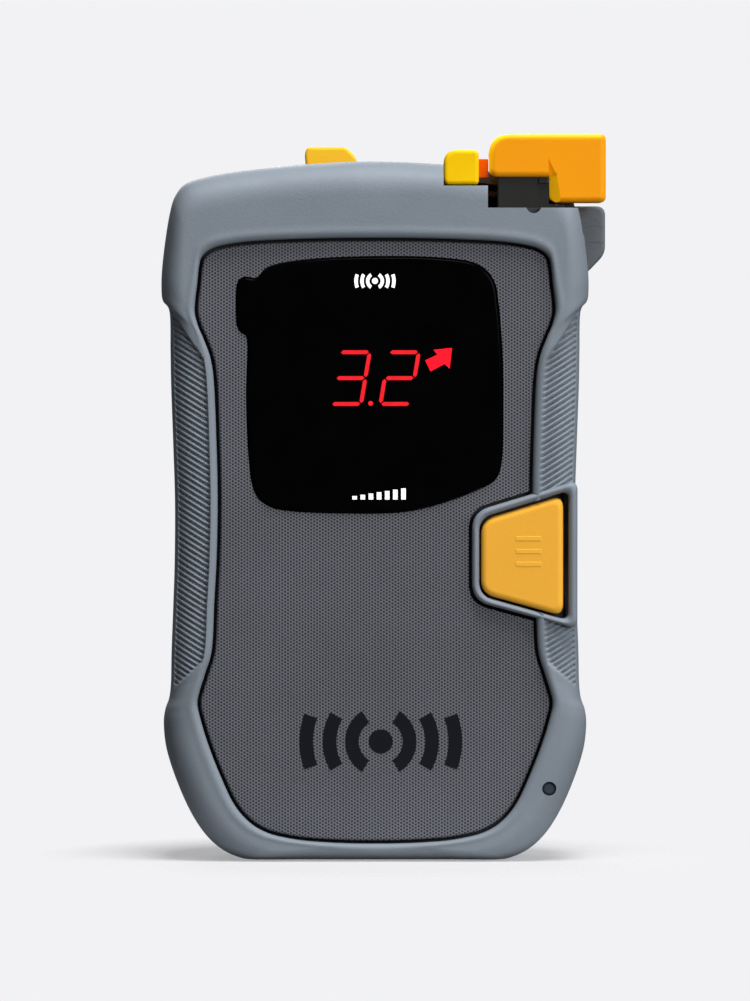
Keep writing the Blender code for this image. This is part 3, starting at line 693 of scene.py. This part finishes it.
def rear_shell():
    """The back of the case: an inner lip, the rounded back, the lug, the battery bay and every hole."""
    rings = [
        at_depth(rear_outline(amount), depth)
        for amount, depth in ((2.6, 3.5), (2.6, 4.15), (0.6, 4.15), (0.3, 4.45))
    ]
    for turn in np.linspace(0.0, math.pi / 2, 12):
        amount = 0.3 + 5.4 * (1 - math.cos(turn))
        depth = BACK_ROUND_START + (BACK - BACK_ROUND_START) * math.sin(turn)
        rings.append(at_depth(rear_outline(amount), depth))
    shell = loft("rear_skin", rings, smooth=30.0)
    join(shell, prism("guard", GUARD, (0.7, 1.6, 1.4, 1.0, 0.7), 4.6, 11.0, 0.5))
    cut(
        shell,
        slab("rear_hollow", rear_outline(4.4), 3.0, 9.5),
        *(block("guard_groove", (36.9, 3.0, level), (42.0, 4.72, level + 0.3)) for level in (106.4, 109.2)),
    )
    join(
        shell,
        block("bay_tub", (-18.8, -0.8, 7.5), (18.8, 11.0, 68.0)),
        pin("knob_pad", KNOB[0], 103.2, 15.2, 7.6, 11.0),
    )
    left, bottom, right, top = DOOR
    recess = rectangle(left - DOOR_GAP, bottom - DOOR_GAP, right + DOOR_GAP, top + DOOR_GAP)
    cut(
        shell,
        block("bay", (-17.2, 0.4, 9.8), (17.2, CLEAR, 58.3)),
        slab("door_recess", rounded(recess, 2.6), 12.1, CLEAR),
        pin("door_screw_hole", *DOOR_SCREW, 1.8, 2.0, CLEAR),
        pin("knob_dish", *KNOB, 13.2, 9.9, CLEAR, sides=96),
        pin("knob_hole", *KNOB, 2.1, 4.0, CLEAR),
    )
    for x, z in CASE_SCREWS:
        cut(
            shell,
            pin("screw_hole", x, z, 1.5, 2.0, CLEAR, sides=24),
            pin("screw_seat", x, z, 2.6, 11.3, CLEAR, sides=36),
            pin("post_hole", x, z, 3.3, 2.0, 9.1, sides=36),
        )
    place(shell, "case", REAR, "rear_shell")


def battery_door():
    """The door, with its screw seat and six finger grooves that get shorter upwards."""
    door = slab("door_skin", rounded(rectangle(*DOOR), 2.4), 12.4, BACK, 0.35)
    cut(
        door,
        pin("screw_seat", *DOOR_SCREW, 3.3, 13.0, CLEAR),
        pin("screw_hole", *DOOR_SCREW, 1.8, 11.0, CLEAR),
    )
    for level in range(6):
        half, bottom = 9.0 - level * 0.5, 13.0 + level * 2.1
        cut(door, block("finger_groove", (-half, 13.55, bottom), (half, CLEAR, bottom + 1.1)))
    place(door, "battery_door", REAR, "battery_door")


# The face

def face_panel():
    """The flat woven panel, with a soft edge all round and openings for the window and the bezel."""
    _, inner = case_curve()
    outline = inset(inner[::2], 0.55)
    rings = [at_depth(outline, -10.3), at_depth(outline, -12.0)]
    soft_edge = ((0.12, PANEL_FRONT + 0.15), (0.4, PANEL_FRONT))
    rings += [at_depth(inset(outline, amount), depth) for amount, depth in soft_edge]
    panel = loft("panel_skin", rings, smooth=30.0)
    cut(
        panel,
        slab("window_opening", inset(smoothed(WINDOW, 6), -0.22), -CLEAR, -9.0),
        slab("bezel_opening", rounded(BEZEL_OPENING, 3.2), -CLEAR, -9.0),
    )
    place(panel, "case", WEAVE, "front_panel")


def display_window():
    """The black window over the display, with rounded edges."""
    window = slab("window_skin", smoothed(WINDOW, 8), GLASS_FRONT, GLASS_FRONT + 2.0, 0.45, 5)
    place(window, "case", GLASS, "display_window")


def segment_bar(x0, z0, x1, z1):
    """One bar of a digit, pointed at both ends, as an outline."""
    start, end = np.array((x0, z0)), np.array((x1, z1))
    along = (end - start) / np.linalg.norm(end - start)
    side = np.array((-along[1], along[0])) * DIGIT_STROKE / 2
    tip = along * DIGIT_STROKE / 2
    return np.array((start, start + tip + side, end - tip + side, end, end - tip - side, start + tip - side))


def lit_digit(name, left, segments):
    """A leaning seven-segment digit made of its lit bars."""
    right = left + DIGIT_WIDTH
    bottom, middle, top = DIGIT_BOTTOM, (DIGIT_BOTTOM + DIGIT_TOP) / 2, DIGIT_TOP
    flat_bars = {"a": top, "g": middle, "d": bottom}
    upright_bars = {
        "f": (left, middle, top), "b": (right, middle, top),
        "e": (left, bottom, middle), "c": (right, bottom, middle),
    }
    for key in segments:
        if key in flat_bars:
            level = flat_bars[key]
            outline = segment_bar(left + DIGIT_GAP, level, right - DIGIT_GAP, level)
        else:
            x, low, high = upright_bars[key]
            outline = segment_bar(x, low + DIGIT_GAP, x, high - DIGIT_GAP)
        outline[:, 0] += (outline[:, 1] - bottom) * DIGIT_LEAN
        place(slab(f"{name}_{key}", outline, MARK_FRONT, MARK_REAR), "case", LED_RED)


def display_marks():
    """The reading on the display: two digits with a point between them, and the direction arrow."""
    lit_digit("ones", -7.5, "abcdg")
    lit_digit("tenths", 0.95, "abged")
    place(pin("digit_point", -0.75, 78.95, 0.42, MARK_FRONT, MARK_REAR), "case", LED_RED)
    place(slab("direction_arrow", np.array(ARROW), MARK_FRONT, MARK_REAR), "case", ARROW_RED)


def arc_band(x, z, radius, half, start, end):
    """A band along part of a circle, so far to each side of its radius, between two angles in degrees."""
    turns = np.radians(np.linspace(start, end, 24))
    ways = np.column_stack((np.cos(turns), np.sin(turns)))
    return np.vstack(((x, z) + ways * (radius + half), ((x, z) + ways * (radius - half))[::-1]))


def signal_mark(name, x, z, size, front, rear, material):
    """A generic radio mark: a dot with three arcs of one height on each side. Size is its half width."""
    place(slab(f"{name}_dot", circle(x, z, size * SIGNAL_DOT), front, rear), "case", material)
    for number, radius in enumerate(SIGNAL_RADII):
        turn = math.degrees(math.asin(min(0.85, SIGNAL_HEIGHT / radius)))
        for side, middle in (("right", 0.0), ("left", 180.0)):
            band = arc_band(x, z, size * radius, size * SIGNAL_STROKE, middle - turn, middle + turn)
            place(slab(f"{name}_{side}_{number}", band, front, rear), "case", material)


def level_bars():
    """A small printed row of level bars, in place of any wording."""
    for number in range(LEVEL_BARS):
        left = LEVEL_LEFT + number * LEVEL_PITCH
        top = LEVEL_BOTTOM + LEVEL_LOWEST + LEVEL_RISE * number
        low, high = (left, MARK_FRONT, LEVEL_BOTTOM), (left + LEVEL_WIDTH, MARK_REAR, top)
        place(block(f"level_bar_{number}", low, high), "case", WHITE_INK_PAINTED_GLOW)


# The controls

def option_button():
    """A soft cap, rounded over its edges, with three raised bars on it."""
    cap = prism("button_cap", BUTTON, (2.4, 2.1, 2.1, 2.4), -13.65, -10.9, 1.0, 7)
    place(cap, "option_button", BUTTON_ORANGE, "option_button")
    place(pin("button_stem", 25.5, 53.0, 1.8, -11.0, -8.35), "option_button", BUTTON_ORANGE)
    for level in (50.9, 53.1, 55.3):
        bar = block(f"button_bar_{round(level)}", (24.2, -13.71, level), (28.6, -13.4, level + 0.8), 0.08)
        place(bar, "option_button", BUTTON_ORANGE)


def search_switch():
    """The orange cap and leg of the search switch, with a facet down the leg, on its black plunger."""
    head = prism("switch_cap", LEVER, (1.6, 3.6, 1.0, 1.1, 1.4, 0.9), -9.0, 3.4, 0.95, 6)
    facet = loft("facet", (
        ((29.9, -9.4, 113.0), (32.7, -9.4, 113.0), (29.9, -6.9, 113.0)),
        ((29.9, -9.4, 118.0), (31.8, -9.4, 118.0), (29.9, -7.6, 118.0)),
        ((29.9, -9.4, 121.4), (30.3, -9.4, 121.4), (29.9, -9.1, 121.4)),
    ))
    cut(
        head, facet,
        block("upper_notch", (18.0, -4.4, 122.5), (21.6, 5.0, 127.0)),
        block("lower_notch", (18.0, -4.4, 116.0), (21.6, 5.0, 121.4)),
    )
    place(head, "search_switch", ORANGE, "search_switch_head")
    shank = block("switch_plunger", (21.1, -8.4, 107.4), (30.0, -4.8, 118.4), 0.25)
    join(shank, block("foot", (22.8, -8.35, 107.5), (32.7, -4.85, 113.25), 0.2))
    cut(
        shank,
        block("side_groove", (27.9, -9.5, 112.9), (28.3, -8.1, 118.5)),
        block("front_recess", (28.3, -9.5, 112.9), (31.0, -7.9, 116.9)),
    )
    place(shank, "search_switch", BLACK, "search_switch_shank")


def lock_tab():
    """The yellow tab, its foot, and the nose that reaches into the lever's notches, the nose darker with
    painted shade.
    """
    tab = prism("lock_tab_cap", TAB, (1.0, 2.3, 1.0, 0.7), -8.6, 3.2, 0.6, 4)
    place(tab, "lock_tab", TAB_YELLOW, "lock_tab")
    place(block("lock_nose", (17.0, -4.0, 117.8), (19.6, 2.9, 121.1), 0.15), "lock_tab", NOSE_PAINTED_SHADE_ORANGE)
    place(block("lock_foot", (13.3, -4.0, 114.0), (16.4, 0.0, 117.5), 0.2), "lock_tab", TAB_YELLOW)


def power_knob():
    """A round knob with a pointer bar across it and small ribs round its edge, in an orange made paler as
    painted light.
    """
    disc = slab("knob_disc", circle(*KNOB, KNOB_RADIUS, 96), 10.35, 12.4, 0.4, 4)
    place(disc, "power_knob", KNOB_PAINTED_LIGHT_ORANGE, "power_knob")
    pointer = prism("knob_pointer", POINTER, (0.7, 0.7, 0.8, 1.0, 1.8, 1.8), 10.5, 13.9, 0.5)
    place(pointer, "power_knob", KNOB_PAINTED_LIGHT_ORANGE)
    for number, (x, z) in enumerate(circle(*KNOB, KNOB_RADIUS - 0.15, 24)):
        place(pin(f"knob_rib_{number}", x, z, 0.35, 10.8, 12.2, 0.12, 12), "power_knob", KNOB_PAINTED_LIGHT_ORANGE)


def repaint_frame():
    """The finish of every CAD piece that still shows."""
    finishes = {
        "front_shell": DARK, "display_mask": DARK, "main_board": BOARD, "indicator_lens": LENS,
        "microcontroller": BLACK, "hall_sensor": BLACK, "speaker": BLACK, "power_switch": BOARD,
        "case_gasket": SEAL, "battery_door_seal": SEAL, "power_knob_ring": SEAL,
        "switch_magnet": STEEL, "led_digit_ones": LED_RED, "led_digit_tenths": LED_RED,
        "led_arrow": ARROW_RED,
    }
    by_start = {
        "case_screw": STEEL, "battery_door_screw": STEEL, "power_knob_shaft": STEEL, "option_switch": STEEL,
        "battery_contact": CONTACT, "battery_": JACKET,
    }
    by_end = {"_rod": FERRITE, "_coil": COPPER}
    for name, obj in nodes.items():
        starts = [finish for start, finish in by_start.items() if name.startswith(start)]
        ends = [finish for end, finish in by_end.items() if name.endswith(end)]
        found = [finishes[name]] if name in finishes else starts + ends
        if found:
            for slot in obj.material_slots:
                slot.material = found[0]


# The studio. The floor's radius, the lens and the sensor are in millimetres, other lengths in metres.

FLOOR_RADIUS = 600.0
WORLD_STRENGTH = 0.11
BACKDROP = (0.887, 0.887, 0.905)
LIGHT_SIZE = 0.4
OBJECT_MIDDLE = (0.0, 0.0, 0.06)
CAMERA_LENS = 300.0
CAMERA_SENSOR = 36.0
CAMERA_SEES = 0.1738
CAMERA_AIM = (0.0, 0.0, 0.0619)
CAMERA_LIFT = math.radians(1.5)


def floor_material():
    """A pale floor that fades out with distance, so that no horizon shows."""
    material, tree, shader = new_material("studio_floor")
    shader.inputs["Base Color"].default_value = (0.62, 0.62, 0.63, 1.0)
    shader.inputs["Roughness"].default_value = 0.9
    shader.inputs["Specular IOR Level"].default_value = 0.0
    coordinates = add_node(tree, "ShaderNodeTexCoord")
    reach = add_node(tree, "ShaderNodeVectorMath", operation="LENGTH")
    tree.links.new(coordinates.outputs["Object"], reach.inputs[0])
    fade = ramp(tree, math_node(tree, "MULTIPLY", reach.outputs["Value"], 5.0), ((0.18, 0.6), (0.3, 0.0)))
    tree.links.new(fade, shader.inputs["Alpha"])
    return material


def studio():
    """The floor, and a world that lights the piece softly and shows the camera a pale grey."""
    rim = circle(0.0, 0.0, FLOOR_RADIUS, 64)
    floor = add_mesh("studio_floor", np.column_stack((rim, np.zeros(len(rim)))), [range(len(rim))])
    floor.data.materials.append(floor_material())
    world = bpy.data.worlds.new("studio")
    bpy.context.scene.world = world
    world.use_nodes = True
    tree = world.node_tree
    background = tree.nodes["Background"]
    background.inputs["Color"].default_value = (1.0, 1.0, 1.0, 1.0)
    background.inputs["Strength"].default_value = WORLD_STRENGTH
    seen = add_node(tree, "ShaderNodeBackground", Color=(*BACKDROP, 1.0))
    mixed = add_node(tree, "ShaderNodeMixShader")
    path = add_node(tree, "ShaderNodeLightPath")
    tree.links.new(path.outputs["Is Camera Ray"], mixed.inputs[0])
    tree.links.new(background.outputs[0], mixed.inputs[1])
    tree.links.new(seen.outputs[0], mixed.inputs[2])
    tree.links.new(mixed.outputs[0], tree.nodes["World Output"].inputs["Surface"])


def light(name, spot, power):
    """A round soft light that faces the middle of the piece."""
    lamp = bpy.data.lights.new(name, "AREA")
    lamp.shape = "DISK"
    lamp.size = LIGHT_SIZE
    lamp.energy = power
    obj = bpy.data.objects.new(name, lamp)
    obj.location = spot
    obj.rotation_euler = (Vector(OBJECT_MIDDLE) - Vector(spot)).to_track_quat("-Z", "Y").to_euler()
    bpy.context.collection.objects.link(obj)


def lights():
    """Soft light from above, from the right, from behind and from the front."""
    light("top", (0.1, -0.2, 0.85), 8.0)
    light("side", (0.75, -0.35, 0.35), 2.2)
    light("rear", (-0.1, 0.9, 0.45), 3.0)
    light("front", (0.45, -0.85, 0.3), 4.2)


def camera():
    """A long lens, nearly level, from far enough off to see a picture so many metres high."""
    distance = CAMERA_LENS / CAMERA_SENSOR * CAMERA_SEES
    eye = bpy.data.cameras.new("camera")
    eye.lens = CAMERA_LENS
    eye.clip_start = 0.01
    obj = bpy.data.objects.new("camera", eye)
    aim = Vector(CAMERA_AIM)
    obj.location = aim + Vector((0.0, -math.cos(CAMERA_LIFT), math.sin(CAMERA_LIFT))) * distance
    obj.rotation_euler = (aim - obj.location).to_track_quat("-Z", "Y").to_euler()
    bpy.context.collection.objects.link(obj)
    bpy.context.scene.camera = obj


camera()
bpy.context.scene.view_settings.view_transform = "Standard"
rubber_frame()
bezel()
rear_shell()
battery_door()
face_panel()
display_window()
display_marks()
signal_mark("front_mark", 1.0, 20.7, 13.8, PANEL_FRONT - 0.06, PANEL_FRONT + 0.2, INK)
signal_mark("window_mark", 0.0, 100.0, 3.5, MARK_FRONT, MARK_REAR, WHITE_INK_PAINTED_GLOW)
level_bars()
option_button()
search_switch()
lock_tab()
power_knob()
repaint_frame()
studio()
lights()
